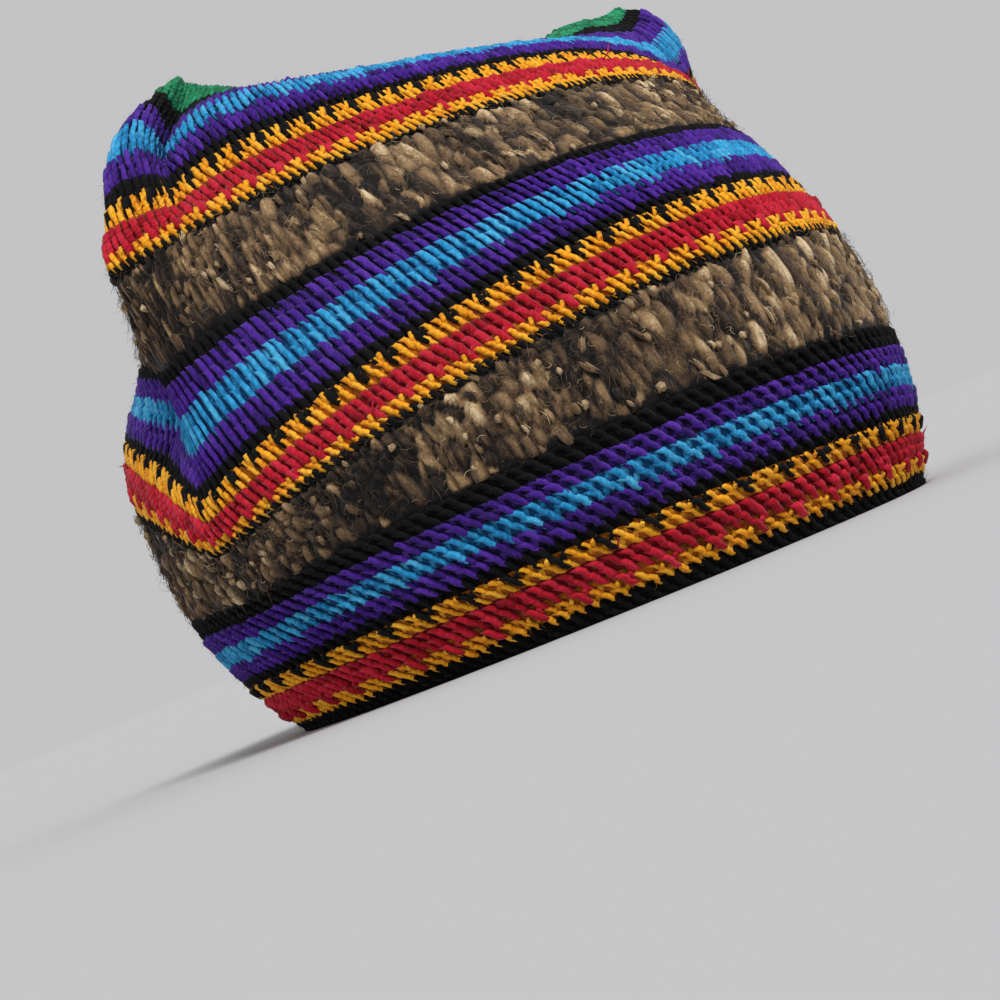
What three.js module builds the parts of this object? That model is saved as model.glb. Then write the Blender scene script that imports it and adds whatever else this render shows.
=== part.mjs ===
// Knitted beanie: one tube of knitting in bands of coloured yarn, closed by a straight seam across the top
// so that its two upper corners stand out as soft points. It stands on its rim, the crown leaning back.
// Millimetres, +Z up. X runs along the top seam, -Y is the front panel.
import * as THREE from "three";

const FINE_WALL = 3.0; // thickness of the fine-yarn knitting
const WOOL_WALL = 4.4; // thickness of the thick wool knitting
const RIM_WALL = 4.0; // the cast-on edge is a little fuller
const BAND_GAP = 0.35; // clear space between one band and the next
const FACETS = 44; // facets round the hat
const EAR_WEB = 16; // how far the two layers lie together in from each top corner
const EAR_SHARPNESS = 2.5; // how late the top line rises towards the corners
const FOLD_SHARPNESS = 1.4; // 1 is a creased fold, 2 a rounded one
const RIM_GRIP = 0.1; // share of the height over which the level rim holds the folds back

// Sections of the tube, from the rim to the seam along the cloth. Length is the half size along X, front and
// back the half sizes along Y, crease how far the sides are folded flat, ear the rise at both corners.
const FORM = table(
  ["share", "z", "length", "front", "back", "crease", "ear", "shiftX", "shiftY", "tiltX", "tiltY"],
  [
    [0.0, 0.0, 76, 84, 80, 0.0, 0, 4, -2, 0.0, 0.0],
    [0.1, 17.5, 84, 92, 87, 0.0, 0, 2, 0, -0.02, -0.03],
    [0.2, 35.0, 89, 96, 91, 0.05, 0, 1, 2, -0.03, -0.06],
    [0.35, 59.0, 92, 92, 90, 0.12, 0, 2, 4, -0.04, -0.1],
    [0.5, 81.5, 95, 78, 79, 0.22, 0, 6, 6, -0.04, -0.12],
    [0.65, 104.0, 98, 57, 58, 0.34, -1, 12, 8, -0.04, -0.12],
    [0.8, 126.0, 98, 34, 34, 0.44, -2, 19, 8, -0.03, -0.1],
    [0.9, 139.5, 93, 20, 18, 0.45, 6, 22, 9, -0.04, -0.05],
    [1.0, 137.5, 80, 3.2, 3.2, 0.4, 13, 29, 13, -0.07, 0.0],
  ],
);

// Folds and swells of the slack cloth. Around is the place round the hat (0 at the -X side, 0.25 at the front),
// the reaches are to either side of it, depth is outward and rise is upward.
const FOLDS = table(
  ["around", "share", "reachFront", "reachBack", "reachUp", "depth", "rise"],
  [
    [0.97, 0.42, 0.14, 0.05, 0.16, 0, -22], // the side of the front panel sags
    [0.86, 0.42, 0.1, 0.1, 0.18, 3, 14], // the back panel swells beside it
    [0.93, 0.52, 0.03, 0.035, 0.07, -10, 0], // pinch over the swell
    [0.985, 0.77, 0.05, 0.06, 0.13, 11.5, -6], // the first corner puffs out
    [0.985, 0.91, 0.045, 0.06, 0.065, 4, -7], // and droops under its tip
    [0.0455, 0.89, 0.035, 0.025, 0.09, -8.5, -4], // valley between that corner and the front panel
    [0.42, 0.875, 0.1, 0.08, 0.075, 0, -12], // the front panel sinks before the second corner
    [0.49, 0.9, 0.05, 0.05, 0.08, 5, -2], // that corner's round end
    [0.38, 1.0, 0.05, 0.06, 0.06, 0, 5], // its seam stands up, front
    [0.62, 1.0, 0.06, 0.05, 0.06, 0, 5], // and back
  ],
);

// Heights of the bands, along the cloth, in each of the three repeats of the pattern.
const RIM_HEIGHT = 5.0;
const TOP_HEIGHT = 7.0;
const REPEATS = table(
  ["zigzag", "line", "stripes", "edge", "wool", "join"],
  [
    [13.2, 3.0, 14.0, 5.0, 29.5, 2.0],
    [18.5, 4.2, 20.2, 3.4, 29.5, 2.0],
    [19.0, 4.0, 16.5, 6.0, 0, 0],
  ],
);
const SIDE_STRIPE = 0.32; // share of the stripes taken by each purple one

// Thickness of the cloth up a band, from its lower edge to its upper edge. The wool bands swell between theirs.
const FINE_BAND = [FINE_WALL, FINE_WALL];
const WOOL_BAND = [FINE_WALL, WOOL_WALL, WOOL_WALL, FINE_WALL];
const RIM_BAND = [RIM_WALL, FINE_WALL];

const YARNS = {
  black: { color: 0x17151a, roughness: 0.95 },
  gold: { color: 0xf5ab22, roughness: 0.9 },
  red: { color: 0xb41432, roughness: 0.9 },
  purple: { color: 0x4f2096, roughness: 0.9 },
  turquoise: { color: 0x2f9fc9, roughness: 0.9 },
  green: { color: 0x178f57, roughness: 0.9 },
  wool: { color: 0x8a7258, roughness: 1.0 },
};

function table(columns, rows) {
  return rows.map((row) => Object.fromEntries(columns.map((name, i) => [name, row[i]])));
}

// The bands from the rim up, each with its yarn, height and walls.
function listBands() {
  const bands = [];
  const add = (name, yarn, height, walls = FINE_BAND) => {
    bands.push({ name, yarn, height, walls });
  };
  add("rim_band", "black", RIM_HEIGHT, RIM_BAND);
  REPEATS.forEach((row, i) => {
    const n = i + 1;
    add(`gold_lower_${n}`, "gold", row.zigzag / 3);
    add(`red_middle_${n}`, "red", row.zigzag / 3);
    add(`gold_upper_${n}`, "gold", row.zigzag / 3);
    add(`black_line_${n}`, "black", row.line);
    add(`purple_lower_${n}`, "purple", row.stripes * SIDE_STRIPE);
    add(`turquoise_middle_${n}`, "turquoise", row.stripes * (1 - 2 * SIDE_STRIPE));
    add(`purple_upper_${n}`, "purple", row.stripes * SIDE_STRIPE);
    add(`black_edge_${n}`, "black", row.edge);
    if (row.wool > 0) {
      add(`wool_${n}`, "wool", row.wool, WOOL_BAND);
      add(`black_join_${n}`, "black", row.join);
    }
  });
  add("green_top", "green", TOP_HEIGHT);
  return bands;
}

// Smooth curve through a column of the section table.
function formSlope(i, column) {
  const before = FORM[Math.max(i - 1, 0)];
  const after = FORM[Math.min(i + 1, FORM.length - 1)];
  return (after[column] - before[column]) / (after.share - before.share);
}

function formAt(share, column) {
  let i = FORM.findIndex((row) => row.share > share) - 1;
  if (i < 0) {
    i = FORM.length - 2;
  }
  const [low, high] = [FORM[i], FORM[i + 1]];
  const span = high.share - low.share;
  const t = (share - low.share) / span;
  const rise = high[column] - low[column];
  const start = formSlope(i, column) * span;
  const end = formSlope(i + 1, column) * span;
  return low[column] + t * (start + t * (3 * rise - 2 * start - end + t * (start + end - 2 * rise)));
}

// A point of the unfolded tube. Offset moves it out (+) or in (-) from the middle of the cloth.
function tubePoint(share, around, offset = 0) {
  const at = (column) => formAt(share, column);
  const step = 0.01;
  const inward = formAt(Math.max(share - step, 0), "front") - formAt(Math.min(share + step, 1), "front");
  const upward = formAt(Math.min(share + step, 1), "z") - formAt(Math.max(share - step, 0), "z");
  const run = Math.hypot(inward, upward);
  const web = offset < 0 ? EAR_WEB * THREE.MathUtils.smoothstep(share, 0.5, 0.95) : 0;
  const grow = (offset * upward) / run;
  const lift = share > 0 ? (offset * inward) / run : 0;

  const angle = Math.PI * (1 + 2 * around);
  const along = Math.cos(angle);
  const across = Math.sin(angle);
  const half = (across < 0 ? at("front") : at("back")) + grow;
  const p = (at("length") + grow - web) * along;
  const q = half * across * Math.abs(across) ** at("crease");
  const ear = at("ear") * Math.abs(p / at("length")) ** EAR_SHARPNESS;
  const z = at("z") + lift + ear + at("tiltX") * p + at("tiltY") * q;
  return new THREE.Vector3(p + at("shiftX"), q + at("shiftY"), z);
}

function tubeNormal(share, around) {
  const step = 0.001;
  const level = THREE.MathUtils.clamp(share, step, 1 - step);
  const turn = tubePoint(level, around + step).sub(tubePoint(level, around - step));
  const climb = tubePoint(level + step, around).sub(tubePoint(level - step, around));
  return turn.cross(climb).normalize();
}

function foldedPoint(share, around, offset) {
  const point = tubePoint(share, around, offset);
  const normal = tubeNormal(share, around);
  const grip = Math.min(1, share / RIM_GRIP);
  for (const fold of FOLDS) {
    const turn = THREE.MathUtils.euclideanModulo(around - fold.around + 0.5, 1) - 0.5;
    const reach = turn > 0 ? fold.reachFront : fold.reachBack;
    const level = (share - fold.share) / fold.reachUp;
    const amount = grip * Math.exp(-((Math.abs(turn) / reach) ** FOLD_SHARPNESS) - level ** 2);
    point.addScaledVector(normal, fold.depth * amount);
    point.z += fold.rise * amount;
  }
  return point;
}

// One band as a closed wall between its two heights. The last band is closed over the top.
function bandMesh(band, from, to, closed) {
  const last = band.walls.length - 1;
  const count = band.walls.length * FACETS;
  const points = [];
  for (const side of [0.5, -0.5]) {
    band.walls.forEach((wall, j) => {
      const share = from + ((to - from) * j) / last;
      for (let i = 0; i < FACETS; i += 1) {
        points.push(foldedPoint(share, i / FACETS, side * wall));
      }
    });
  }
  const outer = (j, i) => j * FACETS + (i % FACETS);
  const inner = (j, i) => count + outer(j, i);
  const faces = [];
  const quad = (a, b, c, d) => faces.push(a, b, c, a, c, d);
  for (let i = 0; i < FACETS; i += 1) {
    for (let j = 0; j < last; j += 1) {
      quad(outer(j, i), outer(j, i + 1), outer(j + 1, i + 1), outer(j + 1, i));
      quad(inner(j, i), inner(j + 1, i), inner(j + 1, i + 1), inner(j, i + 1));
    }
    quad(outer(0, i), inner(0, i), inner(0, i + 1), outer(0, i + 1));
    if (!closed) {
      quad(outer(last, i), outer(last, i + 1), inner(last, i + 1), inner(last, i));
    }
  }
  if (closed) {
    closeTop(faces, (i) => outer(last, i), (i) => inner(last, i));
  }
  const geometry = new THREE.BufferGeometry().setFromPoints(points);
  geometry.setIndex(faces);
  geometry.computeVertexNormals();
  const mesh = new THREE.Mesh(geometry, new THREE.MeshStandardMaterial(YARNS[band.yarn]));
  mesh.name = band.name;
  return mesh;
}

// The seam: front and back edges are joined straight across, outside and inside.
function closeTop(faces, outer, inner) {
  const half = FACETS / 2;
  for (let i = 0; i < half; i += 1) {
    const [a, b, c, d] = [i, i + 1, FACETS - i - 1, (FACETS - i) % FACETS];
    if (b !== c) {
      faces.push(outer(a), outer(b), outer(c));
      faces.push(inner(a), inner(c), inner(b));
    }
    if (a !== d) {
      faces.push(outer(a), outer(c), outer(d));
      faces.push(inner(a), inner(d), inner(c));
    }
  }
}

const bands = listBands();
const clothHeight = bands.reduce((sum, band) => sum + band.height, 0);
const beanie = new THREE.Group();
beanie.name = "beanie";
let height = 0;
bands.forEach((band, i) => {
  const first = i === 0;
  const last = i === bands.length - 1;
  const from = (height + (first ? 0 : BAND_GAP / 2)) / clothHeight;
  height += band.height;
  const to = (height - (last ? 0 : BAND_GAP / 2)) / clothHeight;
  beanie.add(bandMesh(band, from, to, last));
});

// The hat is centred over the origin, its rim on the ground.
const middle = new THREE.Box3().setFromObject(beanie).getCenter(new THREE.Vector3());
for (const mesh of beanie.children) {
  mesh.geometry.translate(-middle.x, -middle.y, 0);
}

export default beanie;
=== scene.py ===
import bpy
import numpy as np
from mathutils import Matrix, Vector


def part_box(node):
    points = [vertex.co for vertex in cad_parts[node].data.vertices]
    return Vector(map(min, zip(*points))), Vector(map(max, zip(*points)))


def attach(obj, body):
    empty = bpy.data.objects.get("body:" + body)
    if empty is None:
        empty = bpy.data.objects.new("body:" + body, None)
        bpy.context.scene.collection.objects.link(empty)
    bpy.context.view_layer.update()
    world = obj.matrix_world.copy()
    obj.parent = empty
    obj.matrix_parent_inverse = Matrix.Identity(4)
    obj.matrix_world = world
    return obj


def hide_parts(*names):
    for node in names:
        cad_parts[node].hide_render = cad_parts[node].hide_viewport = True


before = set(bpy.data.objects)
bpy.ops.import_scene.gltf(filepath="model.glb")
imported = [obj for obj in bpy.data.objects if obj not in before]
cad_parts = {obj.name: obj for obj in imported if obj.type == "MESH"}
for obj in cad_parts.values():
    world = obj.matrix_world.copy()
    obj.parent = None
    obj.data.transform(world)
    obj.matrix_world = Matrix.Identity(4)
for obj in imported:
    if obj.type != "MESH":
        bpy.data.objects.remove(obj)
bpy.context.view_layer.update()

# Rim band: the black cast-on edge that the hat stands on, two rows of fine wool yarn. Every other band is
# knitted on from it in one tube, slack round the crown and sewn shut straight across the top, so that two
# corners stand out. The shape of that tube comes first, in millimetres; each band takes its place on it.
FORM_COLUMNS = "share z length front back crease ear shift_x shift_y tilt_x tilt_y".split()
FORM = np.array([
    [0.00, 0.0, 76, 84, 80, 0.00, 0, 4, -2, 0.00, 0.00],
    [0.10, 17.5, 84, 92, 87, 0.00, 0, 2, 0, -0.02, -0.03],
    [0.20, 35.0, 89, 96, 91, 0.05, 0, 1, 2, -0.03, -0.06],
    [0.35, 59.0, 92, 92, 90, 0.12, 0, 2, 4, -0.04, -0.10],
    [0.50, 81.5, 95, 78, 79, 0.22, 0, 6, 6, -0.04, -0.12],
    [0.65, 104.0, 98, 57, 58, 0.34, -1, 12, 8, -0.04, -0.12],
    [0.80, 126.0, 98, 34, 34, 0.44, -2, 19, 8, -0.03, -0.10],
    [0.90, 139.5, 93, 20, 18, 0.45, 6, 22, 9, -0.04, -0.05],
    [1.00, 137.5, 80, 3.2, 3.2, 0.4, 13, 29, 13, -0.07, 0.0],
])
FOLD_COLUMNS = "around share reach_front reach_back reach_up depth rise".split()
FOLDS = np.array([
    [0.970, 0.42, 0.140, 0.050, 0.16, 0, -22],  # the side of the front panel sags
    [0.860, 0.42, 0.100, 0.100, 0.18, 3, 14],  # the back panel swells beside it
    [0.930, 0.52, 0.030, 0.035, 0.07, -10, 0],  # pinch over the swell
    [0.985, 0.77, 0.05, 0.06, 0.13, 11.5, -6],  # the first corner puffs out
    [0.985, 0.91, 0.045, 0.06, 0.065, 4, -7],  # and droops under its tip
    [0.0455, 0.89, 0.035, 0.025, 0.09, -8.5, -4],  # valley between that corner and the front panel
    [0.42, 0.875, 0.1, 0.08, 0.075, 0, -12],  # the front panel sinks before the second corner
    [0.49, 0.9, 0.05, 0.05, 0.08, 5, -2],  # that corner's round end
    [0.38, 1.0, 0.05, 0.06, 0.06, 0, 5],  # its seam stands up, front
    [0.62, 1.0, 0.06, 0.05, 0.06, 0, 5],  # and back
])
EAR_SHARPNESS = 2.5  # how late the top line rises towards the corners
FOLD_SHARPNESS = 1.4  # 1 is a creased fold, 2 a rounded one
RIM_GRIP = 0.1  # share of the height over which the level rim holds the folds back
CLOTH_HEIGHT = 202.0  # from rim to seam along the cloth
SLOPE_STEP = 0.01
NORMAL_STEP = 0.001
ROUND_STEPS = 721


def form_at(share):
    """Every column of the section table at these heights, on a smooth curve through its rows."""
    marks = FORM[:, 0]
    rows = np.arange(len(marks))
    before = np.maximum(rows - 1, 0)
    after = np.minimum(rows + 1, len(marks) - 1)
    slopes = (FORM[after] - FORM[before]) / (marks[after] - marks[before])[:, None]
    i = np.clip(np.searchsorted(marks, share, side="right") - 1, 0, len(marks) - 2)
    span = (marks[i + 1] - marks[i])[..., None]
    t = (np.asarray(share)[..., None] - marks[i][..., None]) / span
    rise = FORM[i + 1] - FORM[i]
    start = slopes[i] * span
    end = slopes[i + 1] * span
    value = FORM[i] + t * (start + t * (3 * rise - 2 * start - end + t * (start + end - 2 * rise)))
    return {name: value[..., k] for k, name in enumerate(FORM_COLUMNS)}


def tube_point(share, around, offset=0.0):
    """A point of the unfolded tube, moved out (+) or in (-) from the middle of the cloth."""
    share, around, offset = np.broadcast_arrays(share, around, np.asarray(offset, float))
    here = form_at(np.clip(share, 0, 1))
    below = form_at(np.clip(share - SLOPE_STEP, 0, 1))
    above = form_at(np.clip(share + SLOPE_STEP, 0, 1))
    inward = below["front"] - above["front"]
    upward = above["z"] - below["z"]
    run = np.hypot(inward, upward)
    grow = offset * upward / run
    lift = np.where(share > 0, offset * inward / run, 0)
    angle = np.pi * (1 + 2 * around)
    along = np.cos(angle)
    across = np.sin(angle)
    half = np.where(across < 0, here["front"], here["back"]) + grow
    p = (here["length"] + grow) * along
    q = half * across * np.abs(across) ** here["crease"]
    ear = here["ear"] * np.abs(p / here["length"]) ** EAR_SHARPNESS
    z = here["z"] + lift + ear + here["tilt_x"] * p + here["tilt_y"] * q
    return np.stack([p + here["shift_x"], q + here["shift_y"], z], -1)


def unit(v):
    return v / np.linalg.norm(v, axis=-1, keepdims=True)


def cloth_normal(share, around):
    """The way out of the cloth, before it is folded."""
    level = np.clip(share, NORMAL_STEP, 1 - NORMAL_STEP)
    turn = tube_point(level, around + NORMAL_STEP) - tube_point(level, around - NORMAL_STEP)
    climb = tube_point(level + NORMAL_STEP, around) - tube_point(level - NORMAL_STEP, around)
    return unit(np.cross(turn, climb))


def cloth_point(share, around, offset=0.0):
    """A point of the hat as it stands, with its folds."""
    share, around, offset = np.broadcast_arrays(share, around, np.asarray(offset, float))
    point = tube_point(share, around, offset)
    normal = cloth_normal(share, around)
    grip = np.clip(share / RIM_GRIP, 0, 1)
    for row in FOLDS:
        fold = dict(zip(FOLD_COLUMNS, row))
        turn = (around - fold["around"] + 0.5) % 1 - 0.5
        reach = np.where(turn > 0, fold["reach_front"], fold["reach_back"])
        level = (share - fold["share"]) / fold["reach_up"]
        amount = grip * np.exp(-(np.abs(turn) / reach) ** FOLD_SHARPNESS - level ** 2)
        point = point + (fold["depth"] * amount)[..., None] * normal
        point[..., 2] += fold["rise"] * amount
    return point


def place_round(share, part):
    """Turns a share of the way round one row, measured along its yarn, into a place round the hat."""
    grid = np.linspace(0, 1, ROUND_STEPS)
    ring = cloth_point(np.full(ROUND_STEPS, share), grid)
    walked = np.concatenate([[0], np.cumsum(np.linalg.norm(np.diff(ring, axis=0), axis=1))])
    whole = np.floor(part)
    return whole + np.interp(part - whole, walked / walked[-1], grid)


# The knitting plan, from the rim up: each band's height, and the yarn of each of its rows as a short repeat
# of stitches. K black, G gold, R red, P purple, T turquoise, E green, W thick wool. Two yarns in a row make
# the teeth of the zigzag.
LOWER_STITCHES = 144  # round the stretched bands by the rim
UPPER_STITCHES = 210  # round the slack bands above
YARN_OF = {"rim": "K", "black": "K", "gold": "G", "red": "R", "purple": "P", "turquoise": "T", "green": "E",
           "wool": "W"}
RIM_HEIGHT = 5.0
TOP_HEIGHT = 7.0
REPEATS = [  # zigzag, line, stripes, edge, wool, join
    (13.2, 3.0, 14.0, 5.0, 29.5, 2.0),
    (18.5, 4.2, 20.2, 3.4, 29.5, 2.0),
    (19.0, 4.0, 16.5, 6.0, 0, 0),
]
SIDE_STRIPE = 0.32  # share of the stripes taken by each purple one
MIDDLE_STRIPE = 0.36  # and by the turquoise one
ONE_ROW_EDGE = 4.0  # a lower black edge is one row of stitches

plan = [("rim_band", RIM_HEIGHT, ["K", "K"])]
for n, (zigzag, line, stripes, edge, wool, join) in enumerate(REPEATS, 1):
    plan += [
        (f"gold_lower_{n}", zigzag / 3, ["G", "RGG"]),
        (f"red_middle_{n}", zigzag / 3, ["R", "R"]),
        (f"gold_upper_{n}", zigzag / 3, ["G", "KGG"]),
        (f"black_line_{n}", line, ["K"]),
        (f"purple_lower_{n}", stripes * SIDE_STRIPE, ["P", "P"]),
        (f"turquoise_middle_{n}", stripes * MIDDLE_STRIPE, ["T", "T"]),
        (f"purple_upper_{n}", stripes * SIDE_STRIPE, ["P", "P"]),
        (f"black_edge_{n}", edge, ["K"] if edge < ONE_ROW_EDGE else ["K", "K"]),
    ]
    if wool:
        plan += [(f"wool_{n}", wool, []), (f"black_join_{n}", join, ["K"])]
plan += [("green_top", TOP_HEIGHT, ["E", "E", "E"])]

names = [name for name, _, _ in plan]
yarns = [YARN_OF[name.split("_")[0]] for name in names]
span_of = {}  # each band's lower and upper edge, as shares of the cloth's height
worked = {name: [] for name in names}  # rows that a band's yarn works: foot, height, stitches round, places
foot = 0.0
rows_done = 0
for place, (name, height, chart) in enumerate(plan):
    span_of[name] = (foot / CLOTH_HEIGHT, (foot + height) / CLOTH_HEIGHT)
    around = LOWER_STITCHES if place < names.index("wool_1") else UPPER_STITCHES
    tall = height / max(len(chart), 1) / CLOTH_HEIGHT
    for k, repeat in enumerate(chart):
        row_yarns = np.array([repeat[i % len(repeat)] for i in range(around)])
        for letter in sorted(set(repeat)):
            owner = next(names[place + d] for d in (0, 1, 2) if yarns[place + d] == letter)
            places = np.flatnonzero(row_yarns == letter) + 0.5 * (rows_done % 2)
            worked[owner].append((span_of[name][0] + k * tall, tall, around, places))
        rows_done += 1
    foot += height


def bands_of(yarn):
    return [name for name, own in zip(names, yarns) if own == yarn]


def strands(path, radius, out, sides, tint):
    """Spun strands along paths, pointed at both ends: points, triangles and points' (tint, along, turn)."""
    n, k = path.shape[:2]
    ahead = np.gradient(path, axis=1)
    side = unit(np.cross(ahead, out))
    face = unit(np.cross(side, ahead))
    along = np.broadcast_to(np.linspace(0, 1, k), (n, k))
    tint = np.broadcast_to(tint[:, None], (n, k))

    def mark(turn):
        return np.stack([tint, along, np.full((n, k), turn)], -1)

    def spot(s, ring):
        return 1 + (k - 2) * (s % sides) + ring

    points = [path[:, :1]]
    values = [mark(0.0)[:, :1]]
    for s in range(sides):
        angle = 2 * np.pi * s / sides - np.pi / 2
        ring = path + radius[..., None] * (np.cos(angle) * side + np.sin(angle) * face)
        points.append(ring[:, 1:-1])
        values.append(mark(s / sides)[:, 1:-1])
    points = np.concatenate(points + [path[:, -1:]], 1)
    values = np.concatenate(values + [mark(0.0)[:, -1:]], 1)
    faces = []
    for s in range(sides):
        faces.append([0, spot(s + 1, 0), spot(s, 0)])
        for ring in range(k - 3):
            faces.append([spot(s, ring), spot(s + 1, ring), spot(s + 1, ring + 1)])
            faces.append([spot(s, ring), spot(s + 1, ring + 1), spot(s, ring + 1)])
        faces.append([spot(s, k - 3), spot(s + 1, k - 3), points.shape[1] - 1])
    faces = np.array(faces)[None] + points.shape[1] * np.arange(n)[:, None, None]
    return points.reshape(-1, 3), faces.reshape(-1, 3), values.reshape(-1, 3)


# A stitch shows two legs of yarn. The first bends down from a hooked tip to a tail over the row below, where
# it meets the next stitch's leg; the second stands low beside it. Columns: across in stitches, up in rows,
# height off the cloth and thickness in yarns.
TAIL_LEG = np.array([
    [0.52, -0.66, 0.60, 0.0],
    [0.30, -0.50, 0.90, 0.86],
    [0.07, -0.06, 1.15, 1.04],
    [0.01, 0.36, 1.36, 1.04],
    [-0.16, 0.74, 1.55, 0.92],
    [-0.64, 0.94, 1.60, 0.0],
])
SIDE_LEG = np.array([
    [0.22, -0.40, -0.90, 0.0],
    [0.32, -0.02, -0.50, 0.90],
    [0.44, 0.42, -0.30, 1.00],
    [0.54, 0.80, -0.25, 0.82],
    [0.64, 1.14, -0.40, 0.0],
])
TAIL_SPREAD = 1.22  # how far the stretched rows draw the first leg out sideways
SIDE_SPREAD = 0.75  # and the second one in
LONE_PROUD = (0.3, 0.9)  # how proud a lone stitch of another yarn stands, in slack and in stretched rows
SIDE_PROUD = 0.3  # how proud the side legs stand in stretched rows
END_PROUD = np.array([0, 0.5, 1.4, 1.8, 1.6])  # and along the side leg of a group's last stitch
FACE_HEIGHT = 0.6  # where the stitches start, out from the middle of the cloth
LOWEST_SHARE = 0.004
HIGHEST_SHARE = 0.999


def knit(rows, uneven, rng, yarn=0.9, sink=0.0):
    """The legs of some rows of stitches, sunk a little where the neighbouring rows stand proud of them."""
    parts = []
    for row_foot, tall, around, places in rows:
        n = len(places)
        stretched = around == LOWER_STITCHES
        last = ~np.isin((places + 1) % around, places)  # the next stitch is of another yarn
        for leg, sides in ((TAIL_LEG, 4), (SIDE_LEG, 3)):
            sway, hop, plump = rng.normal(0, uneven, (3, n, 1))
            loose = rng.normal(0, uneven * 0.3, (3, n, len(leg)))
            if leg is TAIL_LEG:
                spread = TAIL_SPREAD if stretched else 1.0
                proud = LONE_PROUD[stretched] * (n < around / 2)
            else:
                spread = SIDE_SPREAD if stretched else 1.0
                proud = last[:, None] * END_PROUD + SIDE_PROUD * stretched
            across = (places[:, None] + 0.5 + leg[:, 0] * spread + sway * 0.5 + loose[0]) / around
            share = row_foot + tall * (leg[:, 1] + hop * 0.5 + loose[1])
            share = np.clip(share, LOWEST_SHARE, HIGHEST_SHARE)
            turn = place_round(row_foot + tall / 2, across)
            size = yarn * np.exp(plump + loose[2])
            height = FACE_HEIGHT - sink + proud + leg[:, 2] * yarn + (size - yarn)
            path = cloth_point(share, turn, height)
            out = cloth_normal(share, turn)
            parts.append(strands(path, size * leg[:, 3], out, sides, rng.random(n)))
    return parts


# Painted shade: the cloth behind the stitches takes each yarn's darkest stop, the dark of the gaps.
PAINTED_SHADE_TINT = [-0.8, 0.5, 0.5]  # tint, along and turn of the cloth that lies dark behind the stitches
INSIDE_STEP = 6.0  # the inside of the wall is plain, so its rows are wider


def backing(name, inner=-1.5, outer=0.9, closed=False, turns=110, step=3.0, relief=None):
    """A closed ring of wall behind a band's stitches, in painted shade; relief raises and tones its face."""
    low, high = span_of[name]
    tall = (high - low) * CLOTH_HEIGHT
    grid = (np.arange(turns) / turns)[None, :]
    face_up = np.linspace(low, high, max(2, int(round(tall / step)) + 1))[:, None]
    back_up = np.linspace(low, high, max(2, int(round(tall / max(step, INSIDE_STEP))) + 1))[:, None]
    m = len(face_up)
    b = len(back_up)
    raised, values = relief(face_up, grid) if relief else (0, np.tile(PAINTED_SHADE_TINT, (m * turns, 1)))
    face = cloth_point(face_up, grid, outer + raised)
    back = cloth_point(back_up, grid, inner)
    points = np.concatenate([face.reshape(-1, 3), back.reshape(-1, 3)])
    values = np.concatenate([values, np.tile(PAINTED_SHADE_TINT, (b * turns, 1))])

    def out(row, column):
        return row * turns + column % turns

    def inn(row, column):
        return m * turns + out(row, column)

    c = np.arange(turns)
    i, j = (v.ravel() for v in np.meshgrid(c, np.arange(m - 1)))
    quads = [np.stack([out(j, i), out(j, i + 1), out(j + 1, i + 1), out(j + 1, i)], 1)]
    i, j = (v.ravel() for v in np.meshgrid(c, np.arange(b - 1)))
    quads.append(np.stack([inn(j, i), inn(j + 1, i), inn(j + 1, i + 1), inn(j, i + 1)], 1))
    quads.append(np.stack([out(0, c), inn(0, c), inn(0, c + 1), out(0, c + 1)], 1))
    if not closed:
        quads.append(np.stack([out(m - 1, c), out(m - 1, c + 1), inn(b - 1, c + 1), inn(b - 1, c)], 1))
    quads = np.concatenate(quads)
    faces = [quads[:, [0, 1, 2]], quads[:, [0, 2, 3]]]
    if closed:
        p = np.arange(turns // 2)
        q = p + 1
        r = turns - p - 1
        t = (turns - p) % turns
        for skin, top, order in ((out, m - 1, 1), (inn, b - 1, -1)):
            faces.append(np.stack([skin(top, p), skin(top, q), skin(top, r)], 1)[q != r][:, ::order])
            faces.append(np.stack([skin(top, p), skin(top, r), skin(top, t)], 1)[p != t][:, ::order])
    return points, np.concatenate(faces), values


HEM = 1.6  # combed fibres keep this far from a band's edges


def fibres(name, count, length, thick, rng, lie, shade=None, base=1.3, comb=0.0):
    """Loose fibres that stand off a band, each bent once and pointed; combed ones lie up and down it."""
    low, high = span_of[name]
    hem = HEM / CLOTH_HEIGHT * (comb > 0)
    share = low + hem + (high - low - 2 * hem) * rng.random(count)
    turn = place_round((low + high) / 2, rng.random(count))
    out = cloth_normal(share, turn)
    wild = rng.normal(size=(2, count, 3))
    wild = wild + comb * rng.choice([-1, 1], (1, count, 1)) * np.array([0, 0, 1.0])
    wild = unit(wild - (wild * out).sum(-1, keepdims=True) * out)
    reach = length * np.exp(np.clip(rng.normal(0, 0.5, (count, 1)), -1, 0.8))
    root = cloth_point(share, turn, base + (rng.random(count) - 0.5) * 0.8 * (comb > 0))
    middle = root + unit(out * (1 - lie) + wild[0] * lie) * reach * 0.5
    tip = middle + unit(out * (1 - lie) * 0.7 + wild[0] * lie + wild[1] * 0.5) * reach * 0.5
    radius = np.full((count, 3), thick)
    tint = rng.random(count) if shade is None else shade(share, turn, rng)
    return [strands(np.stack([root, middle, tip], 1), radius, np.repeat(out[:, None], 3, 1), 3, tint)]


def fuzz(name, rng):
    """The short fuzz that fine yarn throws off all over a band."""
    return fibres(name, count=1000, length=1.6, thick=0.036, rng=rng, lie=0.5)


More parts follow.
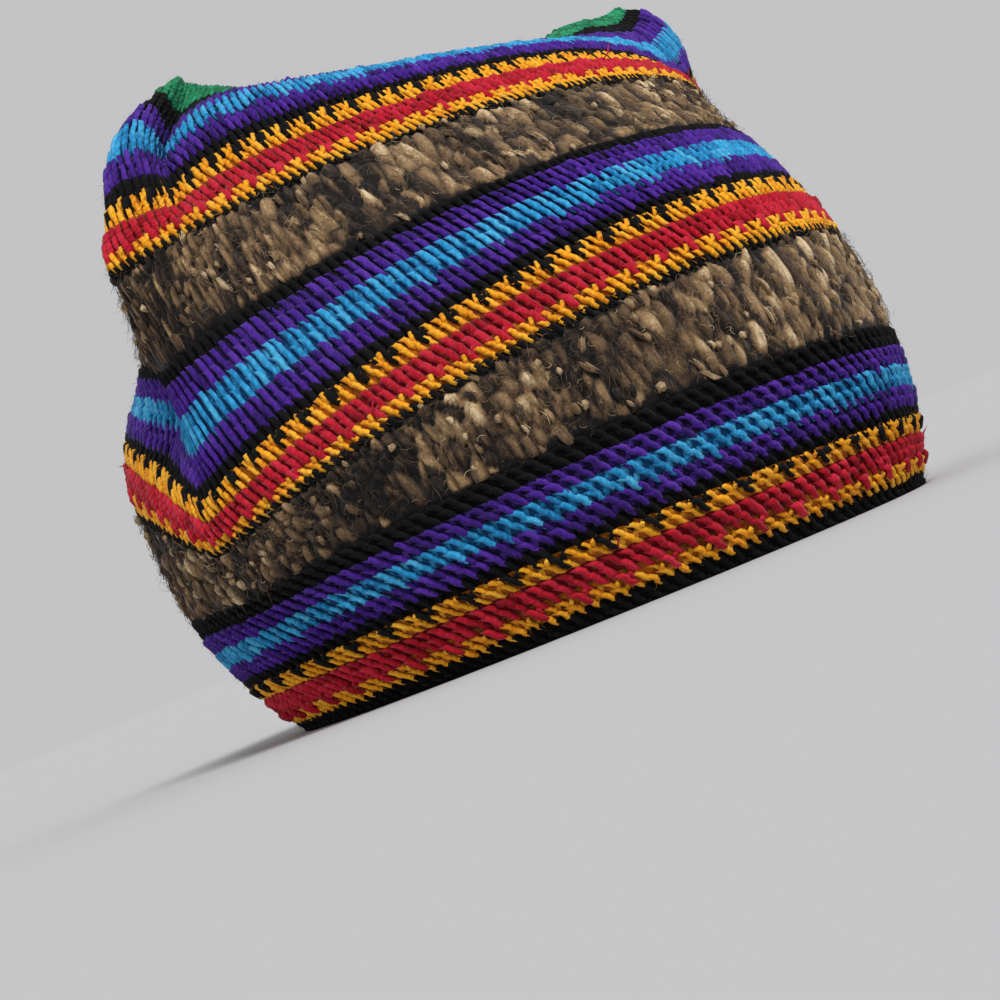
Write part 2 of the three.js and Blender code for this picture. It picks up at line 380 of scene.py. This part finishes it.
# The hat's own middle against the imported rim, so that every piece lands where its solid is.
MM = 1000  # in a metre
FINE_WALL = 3.0
BAND_GAP = 0.35
rim_low, rim_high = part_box("rim_band")
rim_top = (RIM_HEIGHT - BAND_GAP / 2) / CLOTH_HEIGHT
rim_ring = cloth_point(rim_top, np.array([0, 0.25, 0.5, 0.75]), FINE_WALL / 2)
seat = np.array([
    (rim_low[0] + rim_high[0]) / 2 * MM - (rim_ring[0, 0] + rim_ring[2, 0]) / 2,
    (rim_low[1] + rim_high[1]) / 2 * MM - (rim_ring[1, 1] + rim_ring[3, 1]) / 2,
    0,
])


def make_piece(node, slot, material, *parts):
    """Joins parts into one mesh in the frame's metres, in place of its solid."""
    starts = np.cumsum([0] + [len(part[0]) for part in parts])
    points = np.concatenate([part[0] for part in parts])
    faces = np.concatenate([part[1] + start for part, start in zip(parts, starts)])
    values = np.concatenate([part[2] for part in parts])
    points[:, 2] = np.maximum(points[:, 2], 0.0)
    mesh = bpy.data.meshes.new(node + "_knit")
    mesh.vertices.add(len(points))
    mesh.vertices.foreach_set("co", ((points + seat) / MM).ravel())
    mesh.loops.add(faces.size)
    mesh.loops.foreach_set("vertex_index", faces.ravel())
    mesh.polygons.add(len(faces))
    mesh.polygons.foreach_set("loop_start", np.arange(0, faces.size, 3))
    mesh.polygons.foreach_set("use_smooth", np.ones(len(faces), bool))
    for k, key in enumerate(("tint", "along", "turn")):
        column = mesh.attributes.new(key, "FLOAT", "POINT")
        column.data.foreach_set("value", values[:, k].astype(np.float32))
    mesh.update(calc_edges=True)
    mesh.materials.append(material)
    piece = bpy.data.objects.new(node + "_knit", mesh)
    bpy.context.scene.collection.objects.link(piece)
    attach(piece, "root")
    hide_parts(node)


class Shade:
    """A node's output that can be used in sums, so that shader maths reads as plain expressions."""

    def __init__(self, tree, socket=None):
        self.tree = tree
        self.socket = socket

    def node(self, kind, settings=None, sockets=None, output=0):
        made = self.tree.nodes.new(kind)
        for key, value in (settings or {}).items():
            if key == "stops":
                ramp = made.color_ramp
                while len(ramp.elements) < len(value):
                    ramp.elements.new(0.5)
                for element, (position, colour) in zip(ramp.elements, value):
                    element.position = position
                    element.color = (*colour, 1)
            else:
                setattr(made, key, value)
        for key, value in (sockets or {}).items():
            if isinstance(value, Shade):
                self.tree.links.new(value.socket, made.inputs[key])
            else:
                made.inputs[key].default_value = value
        return Shade(self.tree, made.outputs[output] if len(made.outputs) else None)

    def maths(self, operation, first, second):
        return self.node("ShaderNodeMath", {"operation": operation}, {0: first, 1: second})

    def __add__(self, other):
        return self.maths("ADD", self, other)

    def __radd__(self, other):
        return self.maths("ADD", other, self)

    def __sub__(self, other):
        return self.maths("SUBTRACT", self, other)

    def __rsub__(self, other):
        return self.maths("SUBTRACT", other, self)

    def __mul__(self, other):
        return self.maths("MULTIPLY", self, other)

    def __rmul__(self, other):
        return self.maths("MULTIPLY", other, self)


def linear(r, g, b):
    """A colour seen by eye (0 to 255) as the light values that a shader takes."""
    return tuple((c / 255 / 12.92) if c < 10.3 else ((c / 255 + 0.055) / 1.055) ** 2.4 for c in (r, g, b))


def yarn_finish(name, tones, sheen=0.08, own=0.4, grain=0.45, twist=1.0):
    """Spun yarn: winding plies with faint painted shade, fibres over them, and a shade of its own for each.
    """
    material = bpy.data.materials.new(name)
    material.use_nodes = True
    material.node_tree.nodes.clear()
    start = Shade(material.node_tree)

    def value(key):
        return start.node("ShaderNodeAttribute", {"attribute_name": key}, output=2)

    def noise(place, scale, detail, roughness):
        return start.node("ShaderNodeTexNoise", {}, {
            "Vector": place, "Scale": scale, "Detail": detail, "Roughness": roughness})

    tint = value("tint")
    along = value("along")
    turn = value("turn")
    spot = start.node("ShaderNodeTexCoord", output=3)
    fibre = noise(spot, 1500.0, 3.0, 0.65)
    cloud = noise(spot, 160.0, 2.0, 0.5)
    lengthwise = start.node("ShaderNodeCombineXYZ", {}, {"X": along * 2.5, "Y": turn * 8.0, "Z": tint * 8.0})
    streak = noise(lengthwise, 1.0, 3.0, 0.6)
    winding = (along * 4.0 + turn * 2.0) * (2 * np.pi)
    ply = start.node("ShaderNodeMath", {"operation": "SINE"}, {0: winding}) * twist
    # ply * 0.05 is painted shade in the plies' grooves and painted light on their crowns.
    shade = (tint - 0.5) * own + (streak + fibre - 1.0) * grain + (cloud - 0.5) * 0.35 + ply * 0.05 + 0.5
    stops = [(place, linear(*eye)) for place, eye in tones]
    colour = start.node("ShaderNodeValToRGB", {"stops": stops}, {"Fac": shade})
    relief = ply * 0.25 + streak * 0.5 + fibre * 0.5
    bump = start.node("ShaderNodeBump", {}, {"Height": relief, "Strength": 0.7, "Distance": 0.0004})
    shader = start.node("ShaderNodeBsdfPrincipled", {}, {
        "Base Color": colour, "Roughness": 0.9, "Normal": bump, "Specular IOR Level": 0.2,
        "Sheen Weight": sheen, "Sheen Roughness": 0.5})
    start.node("ShaderNodeOutputMaterial", {}, {"Surface": shader})
    return material


rng = np.random.default_rng(7)
black_yarn = yarn_finish("black_yarn", [(0.0, (2, 2, 2)), (0.5, (8, 7, 9)), (1.0, (24, 22, 25))], sheen=0.02)
make_piece("rim_band", "black", black_yarn, backing("rim_band", inner=-2.0),
           *knit(worked["rim_band"], 0.07, rng, yarn=0.8, sink=0.4), *fuzz("rim_band", rng))

# Black lines, edges and joins: one or two rows of the black yarn between the coloured bands, which also fill
# the notches between the teeth of the zigzag below them. Knitted on row by row like every other band.
for name in bands_of("K")[1:]:
    make_piece(name, "black", black_yarn, backing(name),
               *knit(worked[name], 0.07, rng, yarn=0.84, sink=0.3), *fuzz(name, rng))

# Gold edges of the zigzag: bright fine yarn above and below the red. The second row of each takes two
# stitches in three, so that the edge breaks into groups of teeth. Both rows lie close, away from the red.
GOLD_START_LOWER = -0.12  # in rows, from the band's foot
GOLD_START_UPPER = 0.43
GOLD_ROW = 0.8  # its rows are worked this much tighter
# The darkest stop is painted shade: the cloth behind the stitches wears it, dark in the gaps.
gold_yarn = yarn_finish("gold_yarn", [(0.0, (40, 18, 4)), (0.2, (214, 120, 12)), (0.5, (252, 174, 28)),
                                      (1.0, (255, 206, 78))], own=0.3, grain=0.3)
for name in bands_of("G"):
    start = GOLD_START_LOWER if "lower" in name else GOLD_START_UPPER
    rows = []
    for k, (_, tall, around, places) in enumerate(worked[name]):
        rows.append((span_of[name][0] + tall * (start + GOLD_ROW * k), tall * GOLD_ROW, around, places))
    make_piece(name, "gold", gold_yarn, backing(name), *knit(rows, 0.10, rng, yarn=0.72), *fuzz(name, rng))

# Red middles of the zigzag: two rows of crimson yarn, and the single stitches that run down between the gold
# teeth. A few cut ends of it stand out of the cloth.
# The darkest stop is painted shade: a dark red that the cloth behind the stitches wears in the gaps.
red_yarn = yarn_finish("red_yarn", [(0.0, (120, 7, 20)), (0.2, (134, 8, 24)), (0.5, (190, 18, 42)),
                                    (1.0, (220, 50, 76))])
for name in bands_of("R"):
    make_piece(name, "red", red_yarn, backing(name), *knit(worked[name], 0.10, rng, yarn=0.95, sink=0.25),
               *fuzz(name, rng), *fibres(name, count=22, length=3.2, thick=0.28, rng=rng, lie=0.5))

# Purple stripes: two rows of violet yarn on either side of each turquoise stripe. The yarn is the same fine
# wool as the rest, knitted on without a break.
# The darkest stop is painted shade: the cloth behind the stitches wears it, dark in the gaps.
purple_yarn = yarn_finish("purple_yarn", [(0.0, (30, 11, 66)), (0.2, (36, 12, 80)), (0.5, (68, 27, 140)),
                                          (1.0, (104, 58, 176))])
for name in bands_of("P"):
    make_piece(name, "purple", purple_yarn, backing(name),
               *knit(worked[name], 0.10, rng, yarn=0.8), *fuzz(name, rng))

# Turquoise stripes: two rows of bright blue yarn down the middle of the purple. They are knitted on like the
# purple rows, and their hooked tips reach up into them.
# The darkest stop is painted shade: the cloth behind the stitches wears it, dark in the gaps.
turquoise_yarn = yarn_finish("turquoise_yarn", [(0.0, (10, 72, 120)), (0.2, (14, 92, 146)),
                                                (0.5, (38, 152, 208)), (1.0, (104, 202, 236))])
for name in bands_of("T"):
    make_piece(name, "turquoise", turquoise_yarn, backing(name),
               *knit(worked[name], 0.10, rng, yarn=0.8), *fuzz(name, rng))

# Wool bands: thick hand-spun fleece in its natural browns, brushed up until its stitches are lost. The yarn
# runs dark and light by turns, so upright patches form; pale slubs, curled ends and a haze of fibres stand
# out of it.
WOOL_ROUND = 560  # round a wool band, for distances sideways on it
PATCHES = 80  # broad patches of shade round a band
SLIM_PATCHES = 240  # and slim ones over them
CLUMPS = 1000
CLUMP_WIDE = 2.3
CLUMP_TALL = 7.5
TUFTS = 280  # round a band's ragged edges
STREAK_TALL = 9  # the grain of the fleece is drawn out along the yarn
STREAK_WIDE = 5
CURL_POINTS = 6
CURL_TURN = 6.28  # a curl starts anywhere on a full turn
wool_yarn = yarn_finish("wool_yarn", [(0.0, (18, 15, 14)), (0.25, (56, 43, 33)), (0.5, (112, 88, 62)),
                                      (0.75, (158, 128, 90)), (1.0, (218, 194, 154))],
                        sheen=0.15, own=0.8, grain=0.5, twist=0.0)


def round_band(turn, tones):
    """Values that follow each other round a band, smoothed from one to the next."""
    n = len(tones)
    return np.interp(turn * n % n, np.arange(n + 1), np.append(tones, tones[0]))


def make_fleece(name, rng):
    """The shade of the fleece on a band: upright patches, dark and light by turns, paler on the far side."""
    broad = (rng.random(PATCHES) + np.arange(PATCHES) % 2) / 2
    slim = rng.random(SLIM_PATCHES)
    low, high = span_of[name]

    def shade(share, turn, rng):
        turn = turn + 0.010 * np.sin(9 * np.pi * (share - low) / (high - low) + 40 * turn)
        value = 0.5 * round_band(turn, broad) + 0.5 * round_band(turn, slim)
        value += 0.1 * np.cos(2 * np.pi * (turn - 0.45))
        return np.clip(1.8 * (value - 0.5) + 0.59 + rng.normal(0, 0.19, np.shape(share)), 0, 1)

    return shade


def pale(share, turn, rng):
    """The shade of the palest slubs, wherever they lie."""
    return 0.75 + 0.25 * rng.random(np.shape(share))


def dulled(shade):
    """The same fleece a little darker, for loose fibres to match lumps darkened by painted crease shade."""

    def darker(share, turn, rng):
        return np.clip(shade(share, turn, rng) - 0.12, 0, 1)

    return darker


def clumps(name, rng, shade):
    """The relief of the fleece: soft upright lumps, each of one shade, with painted shade in the creases."""
    low, high = span_of[name]
    at = low + (high - low) * rng.uniform(-0.05, 1.05, CLUMPS)
    turn_at = rng.random(CLUMPS)
    # Each lump's shade is raised a little against the painted shade of its creases.
    tone = shade(at, turn_at, rng) + 0.08
    ragged = rng.uniform(-1.6, 1.8, (2, TUFTS))

    def relief(share, turn):
        share, turn = np.broadcast_arrays(share, turn)
        raised = np.empty(share.shape)
        tint = np.empty(share.shape)
        for row in range(len(share)):
            aside = ((turn[row][:, None] - turn_at + 0.5) % 1 - 0.5) * WOOL_ROUND / CLUMP_WIDE
            along = (share[row][:, None] - at) * CLOTH_HEIGHT / CLUMP_TALL + 0.1 * aside
            far = np.hypot(aside, along)
            nearest = np.argmin(far, 1)
            first, second = np.partition(far, 1, axis=1)[:, :2].T
            crease = second - first
            raised[row] = 2.0 * (1 - np.exp(-2.4 * crease)) - 0.4 * first
            # Painted highlight: lighter towards each lump's crest; painted shade: dark in the creases.
            tint[row] = tone[nearest] + 0.12 * (0.8 - first) - 0.6 * np.exp(-3.2 * crease)
        # Towards each edge the lumps sink and darken along a ragged line.
        for edge, bite in zip((share - low, high - share), ragged):
            inside = edge * CLOTH_HEIGHT - round_band(turn, bite)
            raised *= np.clip(inside / 1.8, 0.12, 1)
            tint -= 0.9 * np.clip(1.2 - inside, 0, 1)
        values = [tint, share * CLOTH_HEIGHT / STREAK_TALL, turn * WOOL_ROUND / STREAK_WIDE]
        return raised, np.stack(values, -1).reshape(-1, 3)

    return relief


def slubs(name, count, length, thick, rng, shade, lift, hairs):
    """Short locks of the fleece that lie up the band, each fat in the middle, with hairs drawn along it."""
    low, high = span_of[name]
    reach = length * np.exp(rng.normal(0, 0.3, (count, 1)))
    size = thick * np.exp(rng.normal(0, 0.22, (count, 1)))
    middle = low + (high - low) * rng.random((count, 1))
    centre = place_round((low + high) / 2, rng.random(count))[:, None]
    tone = shade(middle[:, 0], centre[:, 0], rng)
    lean = rng.normal(-0.08, 0.22, (count, 1))
    bow = rng.normal(0, 0.5, (count, 1))
    rise = 0.5 + lift + rng.random((count, 1)) * 0.8
    edge = 0.8 / CLOTH_HEIGHT

    def lay(step, aside, up, radius, sides, tint):
        share = np.clip(middle + reach * step / CLOTH_HEIGHT, low - edge, high + edge)
        turn = centre + (lean * reach * step + bow * (1 - 4 * step * step) + aside) / WOOL_ROUND
        path = cloth_point(share, turn, rise - 0.9 * (np.abs(step) * 2) ** 3 + up)
        return strands(path, radius, cloth_normal(share, turn), sides, tint)

    parts = [lay(np.linspace(-0.5, 0.5, 5), 0, 0, size * np.array([0, 0.78, 1.0, 0.74, 0]), 4, tone)]
    for _ in range(hairs):
        step = np.array([-0.55, -0.2, 0.2, 0.55]) + rng.normal(0, 0.12, (count, 1))
        angle = rng.uniform(-1.2, 1.2, (count, 1))
        aside = size * np.sin(angle) * 1.15 + rng.normal(0, 0.16, (count, 4))
        up = size * np.cos(angle) * np.array([0.3, 0.95, 0.95, 0.3]) + rng.normal(0, 0.1, (count, 4))
        radius = 0.075 * np.exp(rng.normal(0, 0.25, (count, 1))) * np.array([0, 1, 1, 0])
        parts.append(lay(step, aside, up, radius, 3, np.clip(tone + rng.normal(0.03, 0.16, count), 0, 1)))
    return parts


def curls(name, count, size, thick, rng, shade):
    """Fine ends of fleece sprung into small open loops on the face of the band."""
    low, high = span_of[name]
    middle = (low + (high - low) * rng.random(count))[:, None]
    turn = place_round((low + high) / 2, rng.random(count))[:, None]
    angle = rng.random((count, 1)) * CURL_TURN
    angle = angle + np.linspace(0, 1, CURL_POINTS) * rng.uniform(1.5, 5.0, (count, 1))
    wide = size * np.exp(rng.normal(0, 0.3, (count, 1))) * np.linspace(1.25, 0.8, CURL_POINTS)
    share = np.clip(middle + wide * np.sin(angle) / CLOTH_HEIGHT, 0, 1)
    turn = turn + wide * np.cos(angle) / WOOL_ROUND
    path = cloth_point(share, turn, 2.3 + 0.8 * rng.random((count, 1)) + 0.5 * np.sin(angle * 0.5))
    tone = np.clip(shade(middle[:, 0], turn[:, 0], rng) + rng.normal(0.02, 0.2, count), 0, 1)
    return [strands(path, np.full((count, CURL_POINTS), thick), cloth_normal(share, turn), 3, tone)]


for name in bands_of("W"):
    shade = make_fleece(name, rng)
    wall = backing(name, outer=0.7, turns=880, step=1.1, relief=clumps(name, rng, shade))
    make_piece(
        name, "wool", wool_yarn, wall,
        *slubs(name, count=260, length=5.0, thick=0.82, rng=rng, shade=shade, lift=0.5, hairs=5),
        *slubs(name, count=90, length=2.6, thick=0.75, rng=rng, shade=pale, lift=1.2, hairs=1),
        *curls(name, count=1100, size=0.75, thick=0.075, rng=rng, shade=shade),
        *fibres(name, count=5000, length=3.4, thick=0.052, rng=rng, lie=0.93, shade=dulled(shade), base=1.9,
                comb=0.9),
        *fibres(name, count=1500, length=2.8, thick=0.042, rng=rng, lie=0.6, shade=dulled(shade), base=1.9))

# Green top: three rows of green yarn that close the crown. Front and back are sewn together along the top by
# a row of slanting stitches from corner to corner.
SEAM_STITCHES = 116
SEAM_ENDS = (0.012, 0.482)  # where it starts and stops, round the hat
SEAM_SLANT = 0.006
SEAM_SHARE = [0.980, 0.993, 1.0, 1.0, 0.993, 0.980]  # each stitch goes up the front and down the back
SEAM_HEIGHT = np.array([0.9, 1.5, 1.9, 1.9, 1.5, 0.9])
SEAM_THICK = 0.8 * np.array([0, 0.9, 1, 1, 0.9, 0])
# The darkest stop is painted shade: the cloth behind the stitches wears it, dark in the gaps.
green_yarn = yarn_finish("green_yarn", [(0.0, (4, 42, 26)), (0.2, (4, 66, 40)), (0.5, (18, 130, 84)),
                                        (1.0, (64, 178, 128))])
front = np.linspace(*SEAM_ENDS, SEAM_STITCHES)[:, None]
across = np.concatenate([np.repeat(front, 3, 1), np.repeat(1 - front - SEAM_SLANT, 3, 1)], 1)
share = np.broadcast_to(SEAM_SHARE, across.shape)
path = cloth_point(share, across, SEAM_HEIGHT)
upright = np.broadcast_to([0.0, 0.0, 1.0], path.shape)
seam = strands(path, np.broadcast_to(SEAM_THICK, across.shape), upright, 4, rng.random(SEAM_STITCHES))
make_piece("green_top", "green", green_yarn, backing("green_top", closed=True),
           *knit(worked["green_top"], 0.10, rng), seam, *fuzz("green_top", rng))

# Floor: a plain matt sheet of pale paper that the rim stands on, wide enough for every view. Its tone is set
# so that it meets the surround almost without a line.
FLOOR_RADIUS = 6
FLOOR_SIDES = 96
FLOOR_TONE = (0.51, 0.51, 0.515, 1)
bpy.context.scene.view_settings.view_transform = "Standard"
outline = [(FLOOR_RADIUS * np.cos(a), FLOOR_RADIUS * np.sin(a), 0)
           for a in np.linspace(0, 2 * np.pi, FLOOR_SIDES, endpoint=False)]
disc = bpy.data.meshes.new("floor")
disc.from_pydata(outline, [], [list(range(FLOOR_SIDES))])
floor = bpy.data.objects.new("floor", disc)
bpy.context.scene.collection.objects.link(floor)
paper = bpy.data.materials.new("pale_paper")
paper.use_nodes = True
paper.node_tree.nodes.clear()
start = Shade(paper.node_tree)
matt = start.node("ShaderNodeBsdfDiffuse", {}, {"Color": FLOOR_TONE})
start.node("ShaderNodeOutputMaterial", {}, {"Surface": matt})
disc.materials.append(paper)

# Light: an even pale surround, and one broad, soft lamp that stands above the camera and to the right of it.
# The lamp is set far off, so that it lights the whole hat alike.
SURROUND_TONE = (0.55, 0.55, 0.56, 1)
VIEW_TURN = np.radians(46)
world = bpy.data.worlds.new("studio")
bpy.context.scene.world = world
world.use_nodes = True
world.node_tree.nodes["Background"].inputs["Color"].default_value = SURROUND_TONE
right = Vector((np.cos(VIEW_TURN), -np.sin(VIEW_TURN), 0))
away = Vector((np.sin(VIEW_TURN), np.cos(VIEW_TURN), 0))
up = Vector((0, 0, 1))
lamp = bpy.data.lights.new("key", "SUN")
lamp.energy = 2.2
lamp.angle = np.radians(24)
key = bpy.data.objects.new("key", lamp)
key.rotation_mode = "QUATERNION"
key.rotation_quaternion = (away * 0.55 - right * 0.2 - up * 0.8).to_track_quat("-Z", "Y")
bpy.context.scene.collection.objects.link(key)

# Camera: low over the floor, off the near corner of the front panel, and rolled so that the rim climbs to
# the right. A long lens keeps the bands from spreading towards the edges.
VIEW_ROLL = np.radians(22)
VIEW_DISTANCE = 0.9
VIEW_HEIGHT = 0.022
VIEW_CENTRE = (-2, 3)  # millimetres, in the hat's own plan
AIM_LEFT = 0.00736
AIM_UP = 0.013
camera = bpy.data.objects.new("camera", bpy.data.cameras.new("camera"))
bpy.context.scene.collection.objects.link(camera)
bpy.context.scene.camera = camera
middle = Vector(((VIEW_CENTRE[0] + seat[0]) / MM, (VIEW_CENTRE[1] + seat[1]) / MM, VIEW_HEIGHT))
target = middle - right * AIM_LEFT + up * AIM_UP
camera.location = middle - away * VIEW_DISTANCE
ahead = (target - camera.location).normalized()
side = ahead.cross(right * np.sin(VIEW_ROLL) + up * np.cos(VIEW_ROLL)).normalized()
camera.rotation_mode = "QUATERNION"
camera.rotation_quaternion = Matrix((side, side.cross(ahead), -ahead)).transposed().to_quaternion()
camera.data.lens = 131.5
camera.data.sensor_width = 36
camera.data.clip_start = 0.01
camera.data.clip_end = 50
